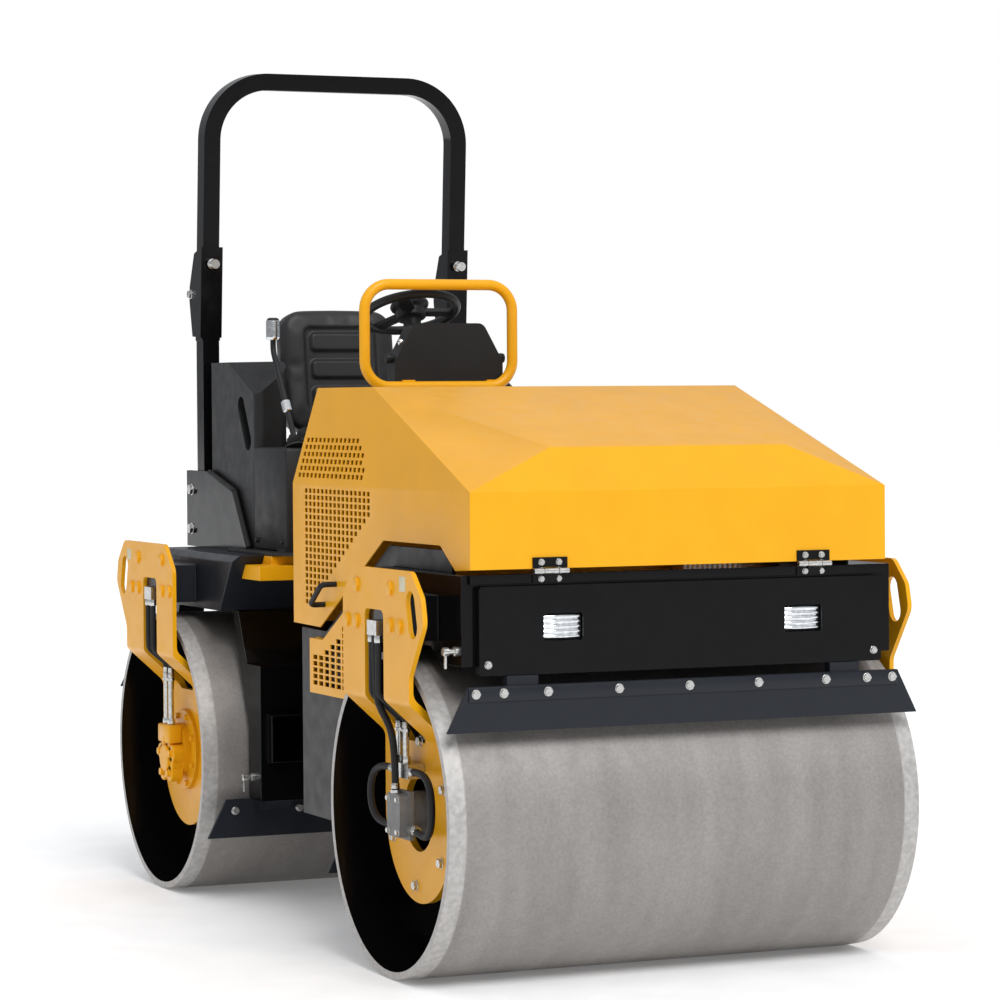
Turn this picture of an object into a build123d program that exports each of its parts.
from build123d import *
from math import cos, hypot, radians, sin
import os

# Tandem vibratory road roller with two steel drums, articulated in the middle.
# Millimetres: X runs forward, Y to the machine's left, Z up.
# The origin is on the ground, below the articulation pin and halfway between the drums.

# Drums
drum_radius = 445
drum_width = 1400
drum_wall = 22
half_base = 1012
bevel_length = 50
bevel_depth = 3
web_inset = 195
web_thickness = 16
hub_radius = 135
hub_length = 60
journal_radius = 95
shaft_gap = 0.3

# Yokes: bent plates that reach from the frame ends into the drums
plate = 20
yoke_overhang = 40
leg_inset = 90
leg_radius = 245
leg_hole_radius = 104
bend_top = 775
bend_bottom = 655
bend_radius = 45
yoke_top = 1117
yoke_top_front = 264
yoke_top_rear = 164
shoulder_z = 1037
ear_reach = 352
ear_z = 981
ear_top_reach = 335
ear_top_z = 1050
waist_z = 835
corner_round = 40
slot_width = 140
slot_offset = -8
slot_top = 1005
slot_bottom = 640
slot_round = 20
eye_length = 128
eye_width = 62
eye_x = 268
eye_z = 1003
eye_tilt = 105

# Rubber buffers and bearing carriers between legs and drums
buffer_count = 6
buffer_circle = 200
buffer_radius = 34
buffer_length = 30
buffer_phase = 24
carrier_radius = 240
carrier_thickness = 16

# Frames
frame_gap = 22
frame_top = 1090
beam_half = 620
beam_rear = 1330
beam_lip = 500
beam_foot = 640
beam_chamfer = 40
pad_back = 1240
pad_front = 870
pad_low = 930
bulkhead_half = 560
bulkhead_front = 430
bulkhead_low = 330
bulkhead_knee_z = 554
bulkhead_back = 545
bulkhead_shelf = 750
shelf_depth = 130

# Articulation
pin_radius = 30
pin_head = 44
lug_radius = 60
lug_thickness = 30
lug_half_root = 200
pivot_z = 520
pivot_gap = 2
knuckle_height = 110
knuckle_radius = 55
trunnion_radius = 50
trunnion_length = 185
neck_half = 190
neck_front = 130
neck_low = 640

# Steering cylinder
barrel_x = -390
barrel_y = 262
rod_eye_x = 40
rod_eye_y = 190
barrel_radius = 36
barrel_start = 25
barrel_length = 265
barrel_cap = 25
rod_start = 160
rod_radius = 18
cylinder_pin_radius = 14
cylinder_eye_radius = 30
cylinder_eye_width = 40
pin_cap = 8

# Front frame
front_edge_x = 65
front_wall_x = 95
front_wall = 15
side_outer = 600
side_thickness = 12
front_low = 350
front_side_end = 545
front_beam_back = 800
front_beam_end = 1400
front_beam_half = 640
front_beam_top = 1110

# Front frame, continued: chin of the beam, tray, engine and tank
front_chin_x = 1180
chin_run = 60
front_chin_z = 868
pad_top = 1050
front_wall_top = 900
housing_radius = 85
knee_z = 640
shoulder_run = 110
engine_back = 200
engine_front = 530
engine_width = 420
engine_height = 760
tank_half = 600
tank_low = 845
tank_top = 1080
tank_depth = 24
strip_low = 1085
strip_depth = 12
lamp_offset = 358
lamp_z = 969
lamp_width = 114
lamp_height = 72
lamp_round = 8
lamp_depth = 16

# Vent covers
vent_back = 240
vent_front = 590
vent_low = 722
vent_shoulder = 880
vent_knee = 350
vent_peak = 1005
vent_depth = 40
vent_wall = 4
vent_slot_x = 450
vent_slot_z = 800
vent_slot_width = 40
vent_slot_height = 14
vent_pitch_x = 56
vent_pitch_z = 26
vent_columns = 4
vent_rows = 5

# Scrapers
scraper_thickness = 12
scraper_height = 120
scraper_top_half = 640
scraper_arm_y = 480
scraper_arm_width = 90
scraper_lap = 36
front_scraper_x = 1444
front_scraper_low = 700
rear_scraper_x = 1450
rear_scraper_low = 622
low_scraper_inset = 4
low_arm_run = 60

# Hood
hood_notch_front = 1205
hood_notch_back = 786
hood_notch_z = 1181
hood_tongue_x = 1309
hood_tongue_z = 1117
hood_skirt_x = 274
hood_skirt_z = 912
hood_wall = 4
hood_half = 620
hood_top_half = 573
hood_rear = 50
hood_top_rear = 143
hood_rear_low = 915
crease_z = 1327
hood_top = 1608
top_front = 596
nose_x = 1331
nose_z = 1442
nose_half = 353
hood_front = 1414
hood_front_low = 1123
hood_clearance = 13
hinge_x = 1424
hinge_z = 1117
hinge_radius = 8
hinge_y = 393
hinge_width = 100

# Hood grilles
hole_width = 22
hole_height = 26
hole_pitch_x = 35
hole_pitch_z = 38
grille_rear = 150
grille_front = 688
grille_low = 972
grille_cut_x = 215
grille_cut_z = 1236
grille_top = 1318
upper_low = 1342
upper_high = 1466
upper_rear = 78
upper_front = 642
upper_bend = 1385
upper_cut = 68
upper_slope = 36

# Hood handles and hinge leaves
handle_front = 410
handle_high = 1043
handle_back = 315
handle_low = 980
handle_out = 45
handle_bend = 16
handle_radius = 8
leaf_thickness = 4
leaf_height = 26
eye_middle = 36
eye_half = 14

# Operator's place
floor_back = -1210
floor_back_half = 462
floor_wing = -850
floor_half = 520
floor_corner = -430
floor_front = -150
floor_front_half = 250
step_low = 1016
step_high = 1062
step_front = -385
step_half = 575
step_setback = 45
side_tank_back = -1200
side_tank_front = -735
side_tank_inner = 350
side_tank_outer = 460
side_tank_top = 1698
side_tank_round = 28
side_tank_cut_x = 270
side_tank_cut_z = 113
grip_x = -850
grip_z = 1500
grip_length = 190
grip_width = 60
grip_tilt = -60
grip_depth = 30
lever_x = -480
lever_y = -420
lever_low = 1380
lever_rise = 60
lever_sweep = 200
lever_high = 1800
lever_grip = 70
lever_bend = 60
lever_radius = 9
lever_knob = 20
lever_post_size = 100
pedestal_half = 90
console_half = 180
console_low = 1480
console_waist = 1600
console_shoulder = 1690
console_top_half = 115
console_top = 1808
console_depth = 70
column_radius = 28
column_length = 400
wheel_hub = 46
hub_height = 40
spoke_count = 3
spoke_phase = 90
spoke_width = 40
spoke_thickness = 12
rail_y = -60
rail_half = 245
rail_low = 1612
rail_high = 1926
rail_radius = 16.5
rail_bend = 80
clamp_offset = 140
clamp_width = 40
clamp_wall = 8
operator_y = -88
floor_z = 1100
seat_width = 400
seat_length = 430
seat_front = -520
cushion_low = 1400
cushion_thickness = 90
back_thickness = 95
back_top = 1872
back_recline = 8
back_forward = 30
cushion_corner = 70
cushion_round = 28
wheel_x = -335
wheel_z = 1845
wheel_radius = 145
wheel_rim = 14
wheel_tilt = 22
console_x = -185
console_y = -20

# Roll-over bar
tube_width = 56
tube_depth = 70
bar_half = 467
bar_top = 2663
bar_corner = 222
bar_lean = 3.8
fold_z = 1925
post_x = -1276
sleeve_wall = 6
sleeve_gap = 3
sleeve_above = 160
sleeve_below = 140
fold_pin_radius = 9
fold_pin_back = 24
gusset_back = -1390
gusset_top = 1342
gusset_shoulder = -1190
gusset_knee = -1010
gusset_knee_z = 1260
gusset_front = -860
gusset_thickness = 12

# Pipes and hoses
pipe_radius = 9
pipe_bend = 30
pipe_spread = 24
pipe_inner = 652
block_low = 935
block_height = 40
block_width = 70
leg_block_top = 585
port_length = 22
port_in = 30
port_drop = 35
hose_radius = 10
hose_bend = 28
loop_lead = 40
loop_reach = 78
loop_out = 26
loop_step = 52

axis_z = drum_radius
drum_end = drum_width / 2
drum_top = 2 * drum_radius
yoke_outer = drum_end + yoke_overhang
yoke_inner = yoke_outer - plate
leg_outer = drum_end - leg_inset
leg_inner = leg_outer - plate
carrier_outer = leg_inner - buffer_length
carrier_inner = carrier_outer - carrier_thickness
web_outer = drum_end - web_inset
beam_low = drum_top + frame_gap
far = 2 * half_base

front_axle = Plane(origin=(half_base, 0, axis_z), x_dir=(0, 1, 0), z_dir=(1, 0, 0))
front_side = Plane(origin=(half_base, 0, 0), x_dir=(1, 0, 0), z_dir=(0, -1, 0))
pieces = {}


def turned(part):
    """The same piece at the other end of the machine, half a turn about the articulation."""
    return part.rotate(Axis.Z, 180)


def across(y):
    """Plane square to the front drum's axis, at distance y to the left of the middle."""
    return Plane(origin=(half_base, y, axis_z), x_dir=(1, 0, 0), z_dir=(0, 1, 0))


def bent_tube(points, bend, radius):
    """Round tube along straight runs joined by tangent arcs."""
    with BuildPart() as tube:
        with BuildLine() as route:
            FilletPolyline(*points, radius=bend)
        with BuildSketch(Plane(origin=route.line @ 0, z_dir=route.line % 0)):
            Circle(radius)
        sweep(path=route.line)
    return tube.part


# Drum: a rolled shell with worn bevels, closed by two webs that carry the bearing hubs
with BuildPart() as front_drum:
    with BuildSketch(front_axle):
        with BuildLine():
            Polyline(
                (-drum_end, drum_radius - bevel_depth),
                (-drum_end + bevel_length, drum_radius),
                (drum_end - bevel_length, drum_radius),
                (drum_end, drum_radius - bevel_depth),
                (drum_end, drum_radius - drum_wall),
                (-drum_end, drum_radius - drum_wall),
                close=True,
            )
        make_face()
        hub_bore = journal_radius + shaft_gap
        web_depth = drum_radius - drum_wall / 2 - hub_bore
        web_middle = web_outer - web_thickness / 2
        with Locations((web_middle, hub_bore + web_depth / 2), (-web_middle, hub_bore + web_depth / 2)):
            Rectangle(web_thickness, web_depth)
        hub_depth = hub_radius - hub_bore
        with Locations((web_middle, hub_bore + hub_depth / 2), (-web_middle, hub_bore + hub_depth / 2)):
            Rectangle(hub_length, hub_depth)
    revolve(axis=Axis((half_base, 0, axis_z), (0, 1, 0)))
pieces["front_drum"] = front_drum.part
pieces["rear_drum"] = turned(front_drum.part)

# Yoke plate: outline seen from the side, cut out of a strip bent like the real plate
with BuildPart() as yokes:
    with BuildSketch(Plane.YZ):
        with BuildLine():
            FilletPolyline(
                (-yoke_outer + plate / 2, yoke_top + plate),
                (-yoke_outer + plate / 2, bend_top),
                (-leg_outer + plate / 2, bend_bottom),
                (-leg_outer + plate / 2, 0),
                radius=bend_radius,
            )
        trace(line_width=plate)
    extrude(amount=far, both=True)
    with BuildSketch(front_side):
        with BuildLine():
            FilletPolyline(
                (-leg_radius, axis_z),
                (leg_radius, axis_z),
                (leg_radius, waist_z),
                (ear_reach, ear_z),
                (ear_top_reach, ear_top_z),
                (yoke_top_front, yoke_top),
                (-yoke_top_rear, yoke_top),
                (-leg_radius, shoulder_z),
                radius=[0, 0, corner_round, corner_round, corner_round, corner_round, corner_round, corner_round],
                close=True,
            )
        make_face()
        with Locations((0, axis_z)):
            Circle(leg_radius)
            Circle(leg_hole_radius, mode=Mode.SUBTRACT)
        with Locations((slot_offset, (slot_top + slot_bottom) / 2)):
            RectangleRounded(slot_width, slot_top - slot_bottom, slot_round, mode=Mode.SUBTRACT)
        with Locations((eye_x, eye_z)):
            SlotOverall(eye_length, eye_width, rotation=eye_tilt, mode=Mode.SUBTRACT)
    extrude(amount=far, both=True, mode=Mode.INTERSECT)
    mirror(about=Plane.XZ)
pieces["front_yokes"] = yokes.part
pieces["rear_yokes"] = turned(yokes.part)

# Vibration side: rubber buffers on the leg hold a carrier whose journal runs in the drum's hub
with BuildPart() as carrier:
    with BuildSketch(across(-leg_inner)):
        with PolarLocations(buffer_circle, buffer_count, start_angle=buffer_phase):
            Circle(buffer_radius)
    extrude(amount=buffer_length)
    with BuildSketch(across(-carrier_outer)):
        Circle(carrier_radius)
    extrude(amount=carrier_thickness)
    with BuildSketch(across(-carrier_inner)):
        Circle(journal_radius)
    extrude(amount=carrier_inner - web_middle + hub_length / 2)
pieces["front_carrier"] = carrier.part
pieces["rear_carrier"] = turned(carrier.part)

# Vibration motor: a gear motor on the carrier, standing out through the hole in the leg
motor_width = 96
motor_height = 116
motor_depth = 62
motor_neck = 62
motor_face = leg_outer + 12
port_radius = 15
with BuildPart() as vibration_motor:
    with BuildSketch(across(-motor_face)):
        Circle(motor_neck)
    extrude(amount=motor_face - carrier_outer)
    with BuildSketch(across(-motor_face - motor_depth)):
        RectangleRounded(motor_width, motor_height, 12)
    extrude(amount=motor_depth)
    with BuildSketch(across(-motor_face - motor_depth * 0.6)):
        Rectangle(motor_width + 16, motor_height + 16)
    extrude(amount=14)
    for x_side in (-1, 1):
        port = Plane(origin=(half_base + x_side * motor_width / 2, -motor_face - port_in, axis_z - port_drop), z_dir=(x_side, 0, 0))
        with BuildSketch(port):
            RegularPolygon(port_radius, 6)
        extrude(amount=port_length)
pieces["front_vibration_motor"] = vibration_motor.part
pieces["rear_vibration_motor"] = turned(vibration_motor.part)

# Drive side, on the left of the front drum: cast motor bolted into the leg, turning a plate on the web
drive_flange = 130
drive_case = 100
drive_shaft = 40
drive_depth = 62
drive_width = 150
drive_height = 168
plate_gap = 6
drive_plate_outer = web_outer + buffer_length + carrier_thickness
with BuildPart() as drive_motor:
    with BuildSketch(across(leg_outer)):
        Circle(drive_flange)
    extrude(amount=14)
    with BuildSketch(across(drive_plate_outer + plate_gap)):
        Circle(drive_case)
    extrude(amount=leg_outer - drive_plate_outer - plate_gap)
    with BuildSketch(across(drive_plate_outer - carrier_thickness)):
        Circle(drive_shaft)
    extrude(amount=carrier_thickness + plate_gap)
    with BuildSketch(across(leg_outer)):
        Circle(drive_case - 14)
    extrude(amount=34)
    with BuildSketch(across(leg_outer + 34)) as cast_face:
        RectangleRounded(drive_width, drive_height, 26)
    extrude(amount=drive_depth - 34 + 22)
    fillet(drive_motor.faces().sort_by(Axis.Y)[-1].edges(), 12)
pieces["front_drive_motor"] = drive_motor.part
pieces["rear_drive_motor"] = turned(drive_motor.part)

with BuildPart() as drive_plate:
    with BuildSketch(across(web_outer)):
        with PolarLocations(buffer_circle, buffer_count, start_angle=buffer_phase):
            Circle(buffer_radius)
    extrude(amount=buffer_length)
    with BuildSketch(across(web_outer + buffer_length)):
        Circle(carrier_radius)
        Circle(drive_shaft + shaft_gap, mode=Mode.SUBTRACT)
    extrude(amount=carrier_thickness)
pieces["front_drive_plate"] = drive_plate.part
pieces["rear_drive_plate"] = turned(drive_plate.part)

# Rear frame: a box beam over the drum, with pads that take the yokes
with BuildPart() as rear_frame:
    with BuildSketch(Plane.XZ):
        with BuildLine():
            Polyline(
                (-beam_rear, beam_low),
                (-beam_rear, frame_top - beam_chamfer),
                (-beam_rear + beam_chamfer, frame_top),
                (-beam_lip, frame_top),
                (-beam_foot, beam_low),
                close=True,
            )
        make_face()
    extrude(amount=beam_half, both=True)
    long_edges = rear_frame.edges().filter_by(Axis.X).group_by(Axis.Z)[-1]
    chamfer(long_edges, beam_chamfer / 2)
    with BuildSketch(Plane.XZ):
        with BuildLine():
            Polyline(
                (-pad_back, pad_low),
                (-pad_back, frame_top - beam_chamfer),
                (-pad_front, frame_top - beam_chamfer),
                (-pad_front, pad_low),
                close=True,
            )
        make_face()
    extrude(amount=yoke_inner, both=True)
pieces["rear_frame"] = rear_frame.part

# Bulkhead between the drums: its back leans along the drum, its front has a shelf and foot holes
bulkhead_top_x = 690
foot_hole_width = 190
foot_hole_height = 150
foot_hole_depth = 80
foot_hole_z = 525
foot_hole_y = 440
collar_wall = 6
collar_out = 32
with BuildPart() as rear_bulkhead:
    with BuildSketch(Plane.XZ):
        with BuildLine():
            Polyline(
                (-bulkhead_top_x, beam_low),
                (-bulkhead_back, bulkhead_knee_z),
                (-bulkhead_back, bulkhead_low),
                (-bulkhead_front, bulkhead_low),
                (-bulkhead_front, bulkhead_shelf),
                (-bulkhead_front - shelf_depth, bulkhead_shelf),
                (-beam_foot, beam_low),
                close=True,
            )
        make_face()
    extrude(amount=bulkhead_half, both=True)
    for y_side in (-1, 1):
        with BuildSketch(Plane(origin=(-bulkhead_front, y_side * foot_hole_y, foot_hole_z), x_dir=(0, 1, 0), z_dir=(1, 0, 0))):
            Rectangle(foot_hole_width, foot_hole_height)
        extrude(amount=collar_out)
        with BuildSketch(Plane(origin=(-bulkhead_front + collar_out, y_side * foot_hole_y, foot_hole_z), x_dir=(0, 1, 0), z_dir=(1, 0, 0))):
            Rectangle(foot_hole_width - 2 * collar_wall, foot_hole_height - 2 * collar_wall)
        extrude(amount=-collar_out - foot_hole_depth, mode=Mode.SUBTRACT)
pieces["rear_bulkhead"] = rear_bulkhead.part

# Rear hitch: the neck under the floor and two lugs for the articulation pin
with BuildPart() as rear_hitch:
    with BuildSketch(Plane.XZ):
        with BuildLine():
            Polyline(
                (-bulkhead_front, neck_low),
                (-bulkhead_front, bulkhead_shelf),
                (-bulkhead_front - shelf_depth, bulkhead_shelf),
                (-beam_lip, frame_top),
                (-neck_front, frame_top),
                (-neck_front, neck_low + 130),
                (-neck_front - 130, neck_low),
                close=True,
            )
        make_face()
    extrude(amount=neck_half, both=True)
    for lug_low in (pivot_z + knuckle_height / 2 + pivot_gap, pivot_z - knuckle_height / 2 - pivot_gap - lug_thickness):
        with BuildSketch(Plane.XY.offset(lug_low)):
            with BuildLine():
                Polyline(
                    (-bulkhead_front, -lug_half_root),
                    (-bulkhead_front, lug_half_root),
                    (0, lug_radius),
                    (0, -lug_radius),
                    close=True,
                )
            make_face()
            Circle(lug_radius)
        extrude(amount=lug_thickness)
    with BuildSketch(Plane.XZ):
        with BuildLine():
            Polyline(
                (-bulkhead_front, pivot_z + knuckle_height / 2 + pivot_gap + lug_thickness),
                (-bulkhead_front, neck_low),
                (-neck_front - 130, neck_low),
                (-lug_radius - 80, pivot_z + knuckle_height / 2 + pivot_gap + lug_thickness),
                close=True,
            )
        make_face()
    extrude(amount=lug_radius, both=True)
    pin_low = pivot_z - knuckle_height / 2 - pivot_gap - lug_thickness - 12
    with BuildSketch(Plane.XY.offset(pin_low)):
        Circle(pin_radius)
    extrude(amount=2 * (pivot_z - pin_low))
    with BuildSketch(Plane.XY.offset(pin_low)):
        Circle(pin_head)
    extrude(amount=12)
    for bracket_z in (pivot_z + cylinder_eye_width / 2 + 2, pivot_z - cylinder_eye_width / 2 - 14):
        with BuildSketch(Plane.XY.offset(bracket_z)):
            with BuildLine():
                Polyline(
                    (-bulkhead_front, barrel_y - 45),
                    (-bulkhead_front, barrel_y + 45),
                    (barrel_x, barrel_y + 24),
                    (barrel_x, barrel_y - 24),
                    close=True,
                )
            make_face()
            with Locations((barrel_x, barrel_y)):
                Circle(24)
        extrude(amount=12)
    with BuildSketch(Plane.XY.offset(pivot_z - cylinder_eye_width / 2 - 14)):
        with Locations((barrel_x, barrel_y)):
            Circle(cylinder_pin_radius)
    extrude(amount=cylinder_eye_width + 28)
pieces["rear_hitch"] = rear_hitch.part

# Knuckle: turns on the upright pin and carries the front frame on a lengthwise trunnion
arm_thickness = 30
arm_top = pivot_z - cylinder_eye_width / 2 - shaft_gap
with BuildPart() as knuckle:
    with BuildSketch(Plane.XY.offset(pivot_z - knuckle_height / 2)):
        Circle(knuckle_radius)
    extrude(amount=knuckle_height)
    with BuildSketch(Plane.YZ):
        with Locations((0, pivot_z)):
            Circle(trunnion_radius)
    extrude(amount=trunnion_length)
    with BuildSketch(Plane.XY.offset(arm_top - arm_thickness)):
        with BuildLine():
            Polyline((-40, 0), (rod_eye_x - 28, rod_eye_y), (rod_eye_x + 28, rod_eye_y), (50, 0), close=True)
        make_face()
        with Locations((rod_eye_x, rod_eye_y)):
            Circle(cylinder_eye_radius)
    extrude(amount=arm_thickness)
    with BuildSketch(Plane.XY.offset(pivot_z - knuckle_height)):
        Circle(pin_radius + shaft_gap)
    extrude(amount=2 * knuckle_height, mode=Mode.SUBTRACT)
pieces["centre_knuckle"] = knuckle.part

# Steering cylinder: barrel on the rear hitch, rod with its eye on the knuckle's arm
stroke = hypot(rod_eye_x - barrel_x, rod_eye_y - barrel_y)
stroke_dir = ((rod_eye_x - barrel_x) / stroke, (rod_eye_y - barrel_y) / stroke, 0)
eye_bore = cylinder_pin_radius + shaft_gap


def along_cylinder(distance):
    """Plane square to the cylinder, at a distance from its rear pin."""
    origin = (barrel_x + stroke_dir[0] * distance, barrel_y + stroke_dir[1] * distance, pivot_z)
    return Plane(origin=origin, z_dir=stroke_dir)


with BuildPart() as barrel:
    with BuildSketch(Plane.XY.offset(pivot_z - cylinder_eye_width / 2)):
        with Locations((barrel_x, barrel_y)):
            Circle(cylinder_eye_radius)
    extrude(amount=cylinder_eye_width)
    with BuildSketch(along_cylinder(barrel_start)):
        Circle(barrel_radius)
    extrude(amount=barrel_length)
    with BuildSketch(along_cylinder(barrel_start + barrel_cap)):
        Circle(rod_radius + shaft_gap)
    extrude(amount=barrel_length, mode=Mode.SUBTRACT)
    with BuildSketch(Plane.XY.offset(pivot_z - cylinder_eye_width)):
        with Locations((barrel_x, barrel_y)):
            Circle(eye_bore)
    extrude(amount=2 * cylinder_eye_width, mode=Mode.SUBTRACT)
pieces["steering_barrel"] = barrel.part

with BuildPart() as rod:
    with BuildSketch(along_cylinder(rod_start)):
        Circle(rod_radius)
    extrude(amount=stroke - rod_start)
    with BuildSketch(Plane.XY.offset(pivot_z - cylinder_eye_width / 2)):
        with Locations((rod_eye_x, rod_eye_y)):
            Circle(cylinder_eye_radius)
    extrude(amount=cylinder_eye_width)
    with BuildSketch(Plane.XY.offset(pivot_z)):
        with Locations((rod_eye_x, rod_eye_y)):
            Circle(cylinder_pin_radius)
    extrude(amount=cylinder_eye_width / 2 + pin_cap)
pieces["steering_rod"] = rod.part

# Front frame: a beam over the drum with pads for the yokes
with BuildPart() as front_frame:
    with BuildSketch(Plane.XZ):
        with BuildLine():
            Polyline(
                (front_beam_back, beam_low),
                (front_chin_x, beam_low),
                (front_chin_x + chin_run, front_chin_z),
                (front_beam_end, front_chin_z),
                (front_beam_end, front_beam_top),
                (front_beam_back, front_beam_top),
                close=True,
            )
        make_face()
    extrude(amount=front_beam_half, both=True)
    with BuildSketch(Plane.XZ):
        with BuildLine():
            Polyline((pad_front, pad_low), (pad_back, pad_low), (pad_back, pad_top), (pad_front, pad_top), close=True)
        make_face()
    extrude(amount=yoke_inner, both=True)
pieces["front_frame"] = front_frame.part

# Rear wall of the front frame, its tray and the housing that rolls on the knuckle's trunnion
with BuildPart() as front_bulkhead:
    side_inner = side_outer - side_thickness
    with BuildSketch(Plane.XZ):
        with BuildLine():
            Polyline(
                (front_wall_x, front_low),
                (front_side_end, front_low),
                (front_side_end, front_low + front_wall),
                (front_wall_x + front_wall, front_low + front_wall),
                (front_wall_x + front_wall, front_wall_top),
                (front_wall_x, front_wall_top),
                close=True,
            )
        make_face()
    extrude(amount=side_inner, both=True)
    housing = Plane.YZ.offset(front_wall_x)
    with BuildSketch(housing):
        with Locations((0, pivot_z)):
            Circle(housing_radius)
    extrude(amount=trunnion_length - front_wall_x)
    with BuildSketch(housing):
        with Locations((0, pivot_z)):
            Circle(trunnion_radius + shaft_gap)
    extrude(amount=trunnion_length, mode=Mode.SUBTRACT)
pieces["front_bulkhead"] = front_bulkhead.part

# Side plates of the engine bay, in front of the articulation and below the hood's edge
bay_top = hood_notch_z - hood_clearance
with BuildPart() as side_plates:
    with BuildSketch(Plane.XZ.offset(side_inner)):
        with BuildLine():
            Polyline(
                (front_edge_x, front_low),
                (front_side_end, front_low),
                (front_side_end, knee_z),
                (front_beam_back - shoulder_run, beam_low),
                (front_beam_back, beam_low),
                (front_beam_back, front_beam_top),
                (pad_back, front_beam_top),
                (pad_back, bay_top),
                (hood_notch_back, bay_top),
                (hood_skirt_x, hood_skirt_z - hood_clearance),
                (front_edge_x, hood_rear_low - hood_clearance),
                close=True,
            )
        make_face()
    extrude(amount=side_thickness)
    mirror(about=Plane.XZ)
pieces["bay_side_plates"] = side_plates.part

# Engine: one plain block of its real bulk on the tray
with BuildPart() as engine:
    with BuildSketch(Plane.XY.offset(front_low + front_wall)):
        with Locations(((engine_back + engine_front) / 2, 0)):
            Rectangle(engine_front - engine_back, engine_width)
    extrude(amount=engine_height)
    chamfer(engine.edges().group_by(Axis.Z)[-1], 40)
pieces["engine_block"] = engine.part

# Front water tank behind the lamps, with the strip that carries the hood's hinges
with BuildPart() as front_tank:
    with BuildSketch(Plane.YZ.offset(front_beam_end)):
        with Locations((0, (tank_low + tank_top) / 2)):
            RectangleRounded(2 * tank_half, tank_top - tank_low, 10)
    extrude(amount=tank_depth)
    with BuildSketch(Plane.YZ.offset(front_beam_end)):
        with Locations((0, (front_beam_top + strip_low) / 2)):
            Rectangle(2 * hood_half, front_beam_top - strip_low)
    extrude(amount=strip_depth)
    for lamp_y in (-lamp_offset, lamp_offset):
        with BuildSketch(Plane.YZ.offset(front_beam_end + tank_depth)):
            with Locations((lamp_y, lamp_z)):
                RectangleRounded(lamp_width, lamp_height, lamp_round)
        extrude(amount=-lamp_depth, mode=Mode.SUBTRACT)
pieces["front_tank"] = front_tank.part

with BuildPart() as headlights:
    for lamp_y in (-lamp_offset, lamp_offset):
        with BuildSketch(Plane.YZ.offset(front_beam_end + tank_depth - lamp_depth)):
            with Locations((lamp_y, lamp_z)):
                RectangleRounded(lamp_width, lamp_height, lamp_round)
        extrude(amount=lamp_depth)
pieces["headlights"] = headlights.part

# Vent covers: folded boxes with slots, on the side plates behind the front yokes
with BuildPart() as vents:
    with BuildSketch(Plane.XZ.offset(side_outer)):
        with BuildLine():
            Polyline(
                (vent_back, vent_low),
                (vent_front, vent_low),
                (vent_front, vent_peak),
                (vent_knee, vent_shoulder),
                (vent_back, vent_shoulder),
                close=True,
            )
        make_face()
    extrude(amount=vent_depth)
    with BuildSketch(Plane.XZ.offset(side_outer)):
        with BuildLine():
            Polyline(
                (vent_back + vent_wall, vent_low + vent_wall),
                (vent_front - vent_wall, vent_low + vent_wall),
                (vent_front - vent_wall, vent_peak - 3 * vent_wall),
                (vent_knee, vent_shoulder - vent_wall),
                (vent_back + vent_wall, vent_shoulder - vent_wall),
                close=True,
            )
        make_face()
    extrude(amount=vent_depth - vent_wall, mode=Mode.SUBTRACT)
    with BuildSketch(Plane.XZ.offset(side_outer + vent_depth)):
        with Locations((vent_slot_x, vent_slot_z)):
            with GridLocations(vent_pitch_x, vent_pitch_z, vent_columns, vent_rows):
                RectangleRounded(vent_slot_width, vent_slot_height, vent_slot_height / 3)
    extrude(amount=-vent_wall, mode=Mode.SUBTRACT)
    mirror(about=Plane.XZ)
pieces["vent_covers"] = vents.part


def scraper_blade(x, low, high):
    """Scraper plate across a drum, wider at the bottom, its outer face at x."""
    with BuildPart() as blade:
        with BuildSketch(Plane.YZ.offset(x)):
            with BuildLine():
                Polyline((-drum_end, low), (drum_end, low), (scraper_top_half, high), (-scraper_top_half, high), close=True)
            make_face()
        extrude(amount=-scraper_thickness)
    return blade.part


def scraper_arms(outline):
    """Pair of plates that hang a scraper, from their outline in side view."""
    with BuildPart() as arms:
        for arm_y in (-scraper_arm_y, scraper_arm_y):
            with BuildSketch(Plane.XZ.offset(-arm_y)):
                with BuildLine():
                    Polyline(*outline, close=True)
                make_face()
            extrude(amount=scraper_arm_width / 2, both=True)
    return arms.part


upper_blade = scraper_blade(front_scraper_x, front_scraper_low, front_scraper_low + scraper_height)
upper_arms = scraper_arms([
    (front_beam_end, tank_low),
    (front_scraper_x - scraper_thickness, tank_low),
    (front_scraper_x - scraper_thickness, front_scraper_low + scraper_height - scraper_lap),
    (front_beam_end, front_scraper_low + scraper_height - scraper_lap),
])
low_x = bulkhead_back - low_scraper_inset
low_blade = scraper_blade(low_x, bulkhead_low - scraper_height, bulkhead_low)
low_arms = scraper_arms([
    (low_x, bulkhead_low - scraper_lap),
    (low_x, bulkhead_low),
    (low_x - low_arm_run, bulkhead_low),
])
with BuildPart() as front_scrapers:
    add(upper_blade)
    add(upper_arms)
    add(low_blade.moved(Location((0, 0, front_low - bulkhead_low))))
    add(low_arms.moved(Location((-scraper_thickness, 0, front_low - bulkhead_low))))
pieces["front_scrapers"] = front_scrapers.part

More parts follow.
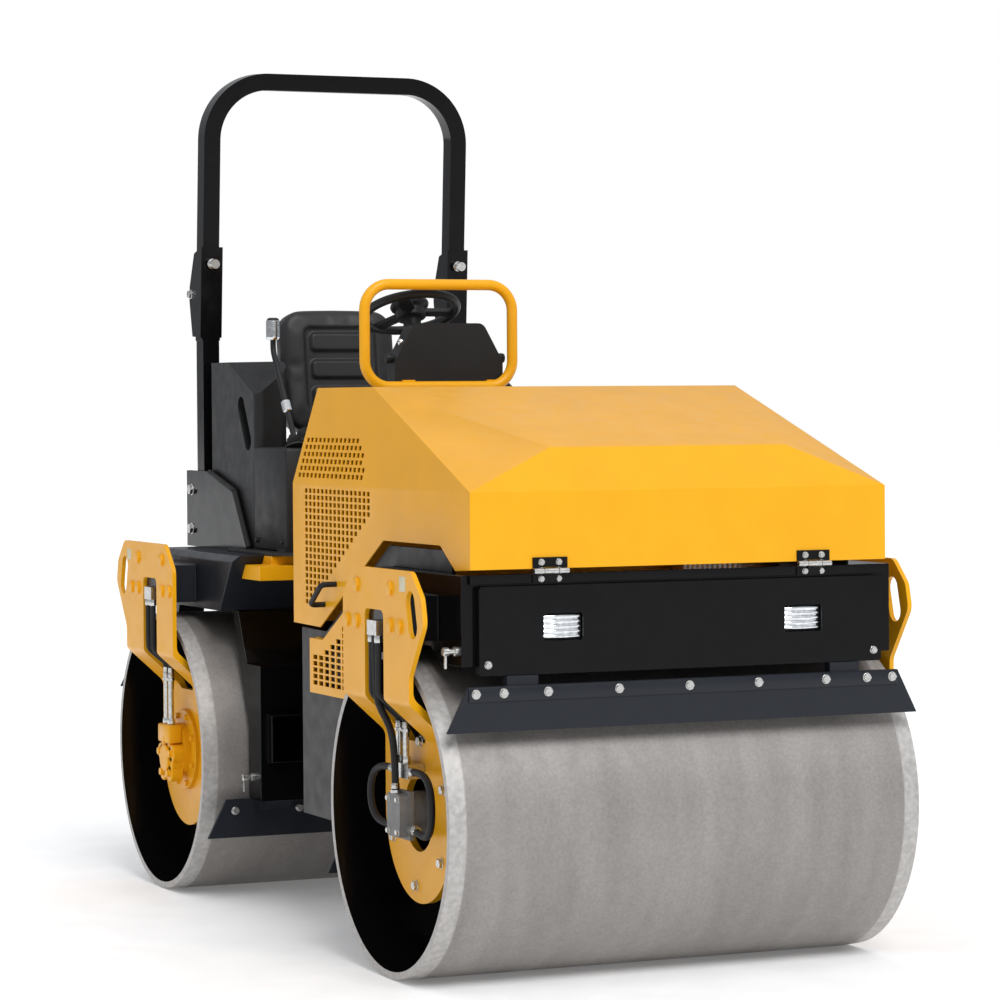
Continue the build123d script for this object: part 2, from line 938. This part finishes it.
rear_blade = scraper_blade(rear_scraper_x, rear_scraper_low, rear_scraper_low + scraper_height)
rear_arms = scraper_arms([
    (beam_rear, frame_top - 2 * beam_chamfer),
    (beam_rear, beam_low),
    (rear_scraper_x - scraper_thickness, rear_scraper_low + scraper_height - scraper_lap),
    (rear_scraper_x, rear_scraper_low + scraper_height - scraper_lap),
    (rear_scraper_x, rear_scraper_low + scraper_height),
])
with BuildPart() as rear_scrapers:
    add(turned(rear_blade))
    add(turned(rear_arms))
    add(turned(low_blade))
    add(turned(low_arms.moved(Location((-scraper_thickness, 0, 0)))))
pieces["rear_scrapers"] = rear_scrapers.part

# Hood: folded sheet with a flat top, a sloping nose and a triangular facet at each front corner
with BuildPart() as hood_sheet:
    with BuildSketch(Plane.XZ):
        with BuildLine():
            Polyline(
                (hood_rear, hood_rear_low),
                (hood_rear, crease_z),
                (hood_top_rear, hood_top),
                (top_front, hood_top),
                (nose_x, nose_z),
                (hood_front, crease_z),
                (hood_front, hood_front_low),
                (hood_tongue_x, hood_tongue_z),
                (hood_notch_front, hood_notch_z),
                (hood_notch_back, hood_notch_z),
                (hood_skirt_x, hood_skirt_z),
                close=True,
            )
        make_face()
    extrude(amount=hood_half, both=True)
    with BuildSketch(Plane.YZ):
        with BuildLine():
            Polyline(
                (-hood_half, 0),
                (hood_half, 0),
                (hood_half, crease_z),
                (hood_top_half, hood_top),
                (-hood_top_half, hood_top),
                (-hood_half, crease_z),
                close=True,
            )
        make_face()
    extrude(amount=far, mode=Mode.INTERSECT)
    for y_side in (-1, 1):
        shoulder = Vector(top_front, y_side * hood_top_half, hood_top)
        corner = Vector(hood_front, y_side * hood_half, crease_z)
        nose = Vector(nose_x, y_side * nose_half, nose_z)
        outward = (corner - shoulder).cross(nose - shoulder)
        facet = Plane(origin=shoulder, z_dir=outward * (1 if outward.Z > 0 else -1))
        split(bisect_by=facet, keep=Keep.BOTTOM)
    skirt = [face for face in hood_sheet.faces() if face.normal_at().Z < -0.1]
    offset(amount=-hood_wall, openings=skirt)

lower_grille = [
    (grille_rear, grille_low),
    (grille_cut_x, grille_low),
    (grille_front, grille_cut_z),
    (grille_front, grille_top),
    (grille_rear, grille_top),
]
upper_grille = [
    (upper_rear, upper_low),
    (upper_front, upper_low),
    (upper_front, upper_bend),
    (upper_front - upper_cut, upper_high),
    (upper_rear + upper_slope, upper_high),
]
with BuildPart() as hood:
    add(hood_sheet.part)
    with BuildSketch(Plane.XZ.offset(-far)):
        for outline in (lower_grille, upper_grille):
            with BuildLine():
                Polyline(*outline, close=True)
            make_face()
    extrude(amount=2 * far, mode=Mode.SUBTRACT)
pieces["hood"] = hood.part


def hole_centres(columns, rows, rear, low, fits):
    """Grid of hole centres, kept where the whole hole fits its panel."""
    centres = [(rear + (i + 0.5) * hole_pitch_x, low + (j + 0.5) * hole_pitch_z) for i in range(columns) for j in range(rows)]
    return [(x, z) for x, z in centres if fits(x + hole_width / 2, z)]


def in_lower(x, z):
    """Right of the diagonal the lower panel is plain sheet."""
    slope = (grille_cut_z - grille_low) / (grille_front - grille_cut_x)
    return z - hole_height / 2 > grille_low + (x - grille_cut_x) * slope and x < grille_front


def in_upper(x, z):
    """The upper panel narrows towards its top at both ends."""
    share = (z - upper_low) / (upper_high - upper_low)
    rear_limit = upper_rear + share * upper_slope + hole_width
    return rear_limit < x < upper_front - max(0, (z - upper_bend) / (upper_high - upper_bend)) * upper_cut


with BuildPart() as grilles:
    add(hood_sheet.part)
    with BuildSketch(Plane.XZ.offset(-far)):
        for outline in (lower_grille, upper_grille):
            with BuildLine():
                Polyline(*outline, close=True)
            make_face()
        columns = int((grille_front - grille_rear) / hole_pitch_x)
        rows = int((grille_top - grille_low) / hole_pitch_z)
        with Locations(*hole_centres(columns, rows, grille_rear, grille_low, in_lower)):
            Rectangle(hole_width, hole_height, mode=Mode.SUBTRACT)
        columns = int((upper_front - upper_rear) / hole_pitch_x)
        rows = int((upper_high - upper_low) / hole_pitch_z)
        with Locations(*hole_centres(columns, rows, upper_rear, upper_low, in_upper)):
            Rectangle(hole_width, hole_height, mode=Mode.SUBTRACT)
    extrude(amount=2 * far, mode=Mode.INTERSECT)
pieces["hood_grilles"] = grilles.part

# Hood handles: bent rods near the rear lower corners
handle_points = [
    (handle_front, -hood_half, handle_high),
    (handle_front, -hood_half - handle_out, handle_high),
    (handle_back, -hood_half - handle_out, handle_low),
    (handle_back, -hood_half, handle_low),
]
handle = bent_tube(handle_points, handle_bend, handle_radius)
with BuildPart() as handles:
    add(handle)
    add(handle.mirror(Plane.XZ))
pieces["hood_handles"] = handles.part

# Hinges: fixed leaves with pins on the tank's strip, moving leaves on the hood
strip_face = front_beam_end + strip_depth
with BuildPart() as hinge_bases:
    for leaf_y in (-hinge_y, hinge_y):
        with BuildSketch(Plane.YZ.offset(strip_face)):
            with Locations((leaf_y, (strip_low + hinge_z - hinge_radius - pivot_gap) / 2)):
                Rectangle(hinge_width, hinge_z - hinge_radius - pivot_gap - strip_low)
        extrude(amount=leaf_thickness)
        with BuildSketch(Plane.XZ.offset(-leaf_y)):
            with Locations((hinge_x, hinge_z)):
                Circle(hinge_radius)
            with BuildLine():
                Polyline(
                    (strip_face, strip_low),
                    (strip_face + leaf_thickness, strip_low),
                    (hinge_x, hinge_z - hinge_radius),
                    (hinge_x - hinge_radius, hinge_z),
                    (strip_face, hinge_z - hinge_radius),
                    close=True,
                )
            make_face()
        extrude(amount=hinge_width / 5, both=True)
        with BuildSketch(Plane.XZ.offset(-leaf_y)):
            with Locations((hinge_x, hinge_z)):
                Circle(hinge_radius / 2)
        extrude(amount=hinge_width / 2, both=True)
pieces["hinge_bases"] = hinge_bases.part

with BuildPart() as hinge_leaves:
    for leaf_y in (-hinge_y, hinge_y):
        leaf_low = hinge_z + hinge_radius + pivot_gap
        with BuildSketch(Plane.YZ.offset(hood_front)):
            with Locations((leaf_y, leaf_low + leaf_height / 2)):
                Rectangle(hinge_width, leaf_height)
            with Locations((leaf_y - eye_middle, leaf_low), (leaf_y + eye_middle, leaf_low)):
                Rectangle(2 * eye_half, 2 * (leaf_low - hinge_z))
        extrude(amount=leaf_thickness)
        for eye_y in (leaf_y - eye_middle, leaf_y + eye_middle):
            with BuildSketch(Plane.XZ.offset(-eye_y)):
                with Locations((hinge_x, hinge_z)):
                    Circle(hinge_radius)
            extrude(amount=eye_half, both=True)
            with BuildSketch(Plane.XZ.offset(-eye_y)):
                with Locations((hinge_x, hinge_z)):
                    Circle(hinge_radius / 2 + shaft_gap)
            extrude(amount=eye_half, both=True, mode=Mode.SUBTRACT)
pieces["hinge_leaves"] = hinge_leaves.part


# Operator's floor and the yellow foot steps beside the neck
def frame_face(z):
    """Where the sloping front of the rear beam stands at height z."""
    return -beam_lip - (frame_top - z) * (beam_foot - beam_lip) / (frame_top - beam_low)


with BuildPart() as floor:
    with BuildSketch(Plane.XY.offset(frame_top)):
        with BuildLine():
            Polyline(
                (floor_back, -floor_back_half),
                (floor_back, floor_back_half),
                (floor_wing, floor_back_half),
                (floor_wing, floor_half),
                (floor_corner, floor_half),
                (floor_front, floor_front_half),
                (floor_front, -floor_front_half),
                (floor_corner, -floor_half),
                (floor_wing, -floor_half),
                (floor_wing, -floor_back_half),
                close=True,
            )
        make_face()
    extrude(amount=floor_z - frame_top)
pieces["floor_plate"] = floor.part

with BuildPart() as foot_steps:
    with BuildSketch(Plane.XZ.offset(neck_half)):
        with BuildLine():
            Polyline(
                (frame_face(step_low), step_low),
                (step_front, step_low),
                (step_front, step_high),
                (frame_face(step_high), step_high),
                close=True,
            )
        make_face()
    extrude(amount=step_half - neck_half)
    with BuildSketch(Plane.XZ.offset(neck_half)):
        with BuildLine():
            Polyline(
                (frame_face(step_high), step_high),
                (step_front - step_setback, step_high),
                (step_front - step_setback, frame_top),
                (frame_face(frame_top), frame_top),
                close=True,
            )
        make_face()
    extrude(amount=floor_half - neck_half)
    mirror(about=Plane.XZ)
pieces["foot_steps"] = foot_steps.part

# Side tanks: moulded boxes beside the seat with a cut corner and a grip recess
with BuildPart() as side_tanks:
    with BuildSketch(Plane.XZ.offset(side_tank_inner)):
        with BuildLine():
            Polyline(
                (side_tank_back, floor_z),
                (side_tank_back, side_tank_top),
                (side_tank_front, side_tank_top),
                (side_tank_front, floor_z),
                close=True,
            )
        make_face()
    extrude(amount=side_tank_outer - side_tank_inner)
    upright = side_tanks.edges().filter_by(Axis.Z)
    fillet(upright, side_tank_round)
    cut_corner = Plane(
        origin=(side_tank_front, -side_tank_outer, side_tank_top - side_tank_cut_z),
        z_dir=Vector(side_tank_cut_z, -side_tank_cut_z * 2, side_tank_cut_x),
    )
    split(bisect_by=cut_corner, keep=Keep.BOTTOM)
    with BuildSketch(Plane.XZ.offset(side_tank_outer)):
        with Locations((grip_x, grip_z)):
            SlotOverall(grip_length, grip_width, rotation=grip_tilt)
    extrude(amount=-grip_depth, mode=Mode.SUBTRACT)
    mirror(about=Plane.XZ)
pieces["side_tanks"] = side_tanks.part

# Seat on its pedestal
seat_middle = seat_front - seat_length / 2
with BuildPart() as seat_base:
    with BuildSketch(Plane.XY.offset(floor_z)):
        with Locations((seat_middle, operator_y)):
            RectangleRounded(seat_length * 0.8, seat_width * 0.8, 20)
    extrude(amount=cushion_low - floor_z)
pieces["seat_base"] = seat_base.part

recline = radians(back_recline)
back_plane = Plane(
    origin=(seat_front - seat_length, operator_y, cushion_low),
    x_dir=(0, 1, 0),
    z_dir=(cos(recline), 0, sin(recline)),
)
with BuildPart() as cushion:
    with BuildSketch(Plane.XY.offset(cushion_low)):
        with Locations((seat_middle, operator_y)):
            RectangleRounded(seat_length, seat_width, cushion_corner)
    extrude(amount=cushion_thickness)
    fillet(cushion.faces().sort_by(Axis.Z)[-1].edges(), cushion_round)
with BuildPart() as seat_back:
    with BuildSketch(back_plane.offset(back_forward)):
        with Locations((0, (back_top - cushion_low) / 2)):
            RectangleRounded(seat_width, back_top - cushion_low, cushion_corner)
    extrude(amount=-back_thickness)
    fillet(seat_back.faces().sort_by(Axis.X)[-1].edges(), cushion_round)
with BuildPart() as seat:
    add(cushion.part)
    add(seat_back.part)
pieces["seat"] = seat.part

# Travel lever on its post beside the seat
with BuildPart() as lever_post:
    with BuildSketch(Plane.XY.offset(floor_z)):
        with Locations((lever_x, lever_y)):
            RectangleRounded(lever_post_size, lever_post_size, 15)
    extrude(amount=lever_low - floor_z)
lever_rod = bent_tube(
    [
        (lever_x, lever_y, lever_low),
        (lever_x, lever_y, lever_low + lever_rise),
        (lever_x - lever_sweep, lever_y, lever_high - lever_grip),
        (lever_x - lever_sweep, lever_y, lever_high),
    ],
    lever_bend,
    lever_radius,
)
with BuildPart() as travel_lever:
    add(lever_post.part)
    add(lever_rod)
    with BuildSketch(Plane.XY.offset(lever_high - lever_grip / 2)):
        with Locations((lever_x - lever_sweep, lever_y)):
            Circle(lever_knob)
    extrude(amount=lever_grip)
    fillet(travel_lever.faces().sort_by(Axis.Z)[-1].edges(), lever_knob / 2)
pieces["travel_lever"] = travel_lever.part

# Console with its pedestal, steering column and wheel
wheel_plane = Plane(
    origin=(wheel_x, operator_y, wheel_z),
    x_dir=(cos(radians(wheel_tilt)), 0, sin(radians(wheel_tilt))),
    z_dir=(-sin(radians(wheel_tilt)), 0, cos(radians(wheel_tilt))),
)
with BuildPart() as console:
    with BuildSketch(Plane.YZ.offset(console_x)):
        with BuildLine():
            FilletPolyline(
                (console_y - pedestal_half, floor_z),
                (console_y + pedestal_half, floor_z),
                (console_y + pedestal_half, console_low),
                (console_y + console_half, console_waist),
                (console_y + console_half, console_shoulder),
                (console_y + console_top_half, console_top),
                (console_y - console_top_half, console_top),
                (console_y - console_half, console_shoulder),
                (console_y - console_half, console_waist),
                (console_y - pedestal_half, console_low),
                radius=[0, 0, 30, 30, 30, 30, 30, 30, 30, 30],
                close=True,
            )
        make_face()
    extrude(amount=-console_depth)

with BuildPart() as steering_column:
    with BuildSketch(wheel_plane.offset(-hub_height / 2 - shaft_gap)):
        Circle(column_radius)
    extrude(amount=-column_length)
    split(bisect_by=Plane.YZ.offset(console_x - console_depth), keep=Keep.BOTTOM)
with BuildPart() as operator_console:
    add(console.part)
    add(steering_column.part)
pieces["console"] = operator_console.part

with BuildPart(wheel_plane) as steering_wheel:
    Torus(wheel_radius, wheel_rim)
    Cylinder(wheel_hub, hub_height)
    with PolarLocations(wheel_radius / 2, spoke_count, start_angle=spoke_phase):
        Box(wheel_radius, spoke_width, spoke_thickness)
pieces["steering_wheel"] = steering_wheel.part

rail_x = console_x + rail_radius
rail_points = [
    (rail_x, rail_y - rail_half, rail_low),
    (rail_x, rail_y - rail_half, rail_high),
    (rail_x, rail_y + rail_half, rail_high),
    (rail_x, rail_y + rail_half, rail_low),
    (rail_x, rail_y - rail_half, rail_low),
]
with BuildPart() as handrail:
    with BuildLine() as rail_route:
        FilletPolyline(*rail_points, radius=rail_bend)
    with BuildSketch(Plane(origin=rail_route.line @ 0, z_dir=rail_route.line % 0)):
        Circle(rail_radius)
    sweep(path=rail_route.line)
    for clamp_y in (-clamp_offset, clamp_offset):
        with BuildSketch(Plane.YZ.offset(console_x)):
            with Locations((console_y + clamp_y, rail_low)):
                Rectangle(clamp_width, 2 * rail_radius + clamp_wall)
        extrude(amount=rail_radius)
pieces["handrail"] = handrail.part

# Roll-over bar: a folding hoop in sleeves on two posts with gusset feet
bar_middle = bar_half - tube_width / 2
post_front = post_x + tube_depth / 2
lean = radians(bar_lean)
fold_plane = Plane(origin=(post_x, 0, fold_z), x_dir=(0, 1, 0), z_dir=(cos(lean), 0, -sin(lean)))
hoop_height = (bar_top - fold_z - tube_depth / 2 * sin(lean)) / cos(lean)
fold_pin_x = -tube_depth / 2 - fold_pin_back
with BuildPart() as roll_bar:
    with BuildSketch(fold_plane):
        with BuildLine():
            FilletPolyline(
                (-bar_middle, 0),
                (-bar_middle, hoop_height - tube_width / 2),
                (bar_middle, hoop_height - tube_width / 2),
                (bar_middle, 0),
                radius=bar_corner - tube_width / 2,
            )
        trace(line_width=tube_width)
    extrude(amount=tube_depth / 2, both=True)
    for post_y in (-bar_middle, bar_middle):
        with BuildSketch(Plane(origin=fold_plane.origin + Vector(0, post_y, 0), x_dir=fold_plane.z_dir, z_dir=(0, -1, 0))):
            with BuildLine():
                Polyline(
                    (-tube_depth / 2, 0),
                    (-tube_depth / 2, 3 * fold_pin_back),
                    (fold_pin_x, fold_pin_back),
                    (fold_pin_x, 0),
                    close=True,
                )
            make_face()
            with Locations((fold_pin_x, 0)):
                Circle(2 * fold_pin_radius)
                Circle(fold_pin_radius + shaft_gap, mode=Mode.SUBTRACT)
        extrude(amount=tube_width / 2 - sleeve_gap, both=True)
pieces["roll_bar"] = roll_bar.part

with BuildPart() as roll_bar_posts:
    with BuildSketch(Plane.XY.offset(frame_top)):
        with Locations((post_x, -bar_middle)):
            Rectangle(tube_depth, tube_width)
    extrude(amount=fold_z - fold_pin_back - frame_top)
    cheek = Plane(origin=fold_plane.origin + Vector(0, -bar_half - sleeve_gap, 0), x_dir=fold_plane.z_dir, z_dir=(0, -1, 0))
    for cheek_y in (0, tube_width + 2 * sleeve_gap + sleeve_wall):
        with BuildSketch(cheek.offset(-cheek_y)):
            with BuildLine():
                Polyline(
                    (tube_depth / 2 + sleeve_gap, sleeve_above),
                    (-tube_depth / 2, sleeve_above - fold_pin_back),
                    (fold_pin_x - 2 * fold_pin_radius, fold_pin_back),
                    (fold_pin_x - 2 * fold_pin_radius, -fold_pin_back),
                    (-tube_depth / 2 - sleeve_wall, -sleeve_below),
                    (tube_depth / 2 + sleeve_gap, -sleeve_below),
                    close=True,
                )
            make_face()
        extrude(amount=sleeve_wall)
    with BuildSketch(fold_plane.offset(tube_depth / 2 + sleeve_gap)):
        with Locations((-bar_middle, (sleeve_above - sleeve_below) / 2)):
            Rectangle(tube_width + 2 * (sleeve_gap + sleeve_wall), sleeve_above + sleeve_below)
    extrude(amount=sleeve_wall)
    with BuildSketch(Plane.XZ.offset(bar_half)):
        with Locations((post_x, fold_z - fold_pin_back - sleeve_below / 2)):
            Rectangle(tube_depth, sleeve_below - fold_pin_back)
    extrude(amount=sleeve_gap)
    with BuildSketch(Plane.XZ.offset(bar_half - tube_width - sleeve_gap)):
        with Locations((post_x, fold_z - fold_pin_back - sleeve_below / 2)):
            Rectangle(tube_depth, sleeve_below - fold_pin_back)
    extrude(amount=sleeve_gap)
    with BuildSketch(cheek):
        with Locations((fold_pin_x, 0)):
            Circle(fold_pin_radius)
    extrude(amount=-tube_width - 2 * sleeve_gap)
    with BuildSketch(Plane.XZ.offset(bar_half)):
        with BuildLine():
            Polyline(
                (gusset_back, frame_top),
                (gusset_back, gusset_top),
                (gusset_shoulder, gusset_top),
                (gusset_knee, gusset_knee_z),
                (gusset_front, frame_top),
                close=True,
            )
        make_face()
    extrude(amount=gusset_thickness)
    mirror(about=Plane.XZ)
pieces["roll_bar_posts"] = roll_bar_posts.part


# Pipes, blocks and hoses on the legs
def pipe_run(pipe_x, side, inner_y, low, radius=pipe_radius):
    """Steel pipe that follows a yoke's bend from the block on the pad into the drum."""
    outer_y = side * (yoke_inner + plate / 2)
    points = [
        (pipe_x, outer_y, block_low),
        (pipe_x, outer_y, bend_top),
        (pipe_x, side * inner_y, bend_top - abs(yoke_inner - inner_y)),
        (pipe_x, side * inner_y, low),
    ]
    return bent_tube(points, pipe_bend, radius)


slot_x = half_base + slot_offset
vibration_pipe_runs = [pipe_run(slot_x + dx, -1, pipe_inner, leg_block_top) for dx in (-pipe_spread, pipe_spread)]
drive_top = axis_z + drive_height / 2
drive_pipe_y = leg_outer + drive_depth
drive_pipe_runs = [pipe_run(slot_x + dx, 1, drive_pipe_y, drive_top) for dx in (-pipe_spread, pipe_spread)]
with BuildPart() as pipes:
    for run in vibration_pipe_runs + drive_pipe_runs:
        add(run)
    with BuildSketch(Plane.XZ.offset(yoke_inner)):
        with Locations((slot_x, block_low + block_height / 2)):
            Rectangle(block_width, block_height)
    extrude(amount=plate)
    with BuildSketch(Plane.XZ.offset(leg_outer)):
        with Locations((slot_x, leg_block_top - block_height / 2)):
            Rectangle(block_width + 2 * pipe_spread, block_height)
    extrude(amount=pipe_inner - leg_outer + pipe_radius)
    with BuildSketch(Plane.XZ.offset(-yoke_inner)):
        with Locations((slot_x, block_low + block_height / 2)):
            Rectangle(block_width, block_height)
    extrude(amount=-plate)
pieces["front_pipes"] = pipes.part
pieces["rear_pipes"] = turned(pipes.part)

port_x = motor_width / 2 + port_length
port_y = -motor_face - port_in
port_z = axis_z - port_drop
loop_z = leg_block_top - block_height / 2
block_end = block_width / 2 + pipe_spread
rear_loop = [
    (slot_x - block_end, -pipe_inner, loop_z),
    (slot_x - block_end - loop_lead, -pipe_inner, loop_z),
    (slot_x - block_end - loop_reach, -pipe_inner - loop_out, loop_z - loop_step),
    (slot_x - block_end - loop_reach, -pipe_inner - loop_out, port_z + loop_step / 2),
    (half_base - port_x - loop_lead, port_y, port_z),
    (half_base - port_x, port_y, port_z),
]
front_loop = [
    (slot_x + block_end, -pipe_inner, loop_z),
    (slot_x + block_end + loop_lead, -pipe_inner, loop_z),
    (slot_x + block_end + loop_reach, -pipe_inner - loop_out, loop_z - loop_step),
    (slot_x + block_end + loop_reach, -pipe_inner - loop_out, port_z + loop_step / 2),
    (half_base + port_x + loop_lead, port_y, port_z),
    (half_base + port_x, port_y, port_z),
]
with BuildPart() as hoses:
    for route in (rear_loop, front_loop):
        add(bent_tube(route, hose_bend, hose_radius))
    add(pipe_run(slot_x, -1, motor_face + motor_depth - hose_radius, axis_z + motor_height / 2, hose_radius))
pieces["front_hoses"] = hoses.part
pieces["rear_hoses"] = turned(hoses.part)

os.makedirs("parts", exist_ok=True)
for name, piece in pieces.items():
    piece.label = name
    export_step(piece, f"parts/{name}.step")
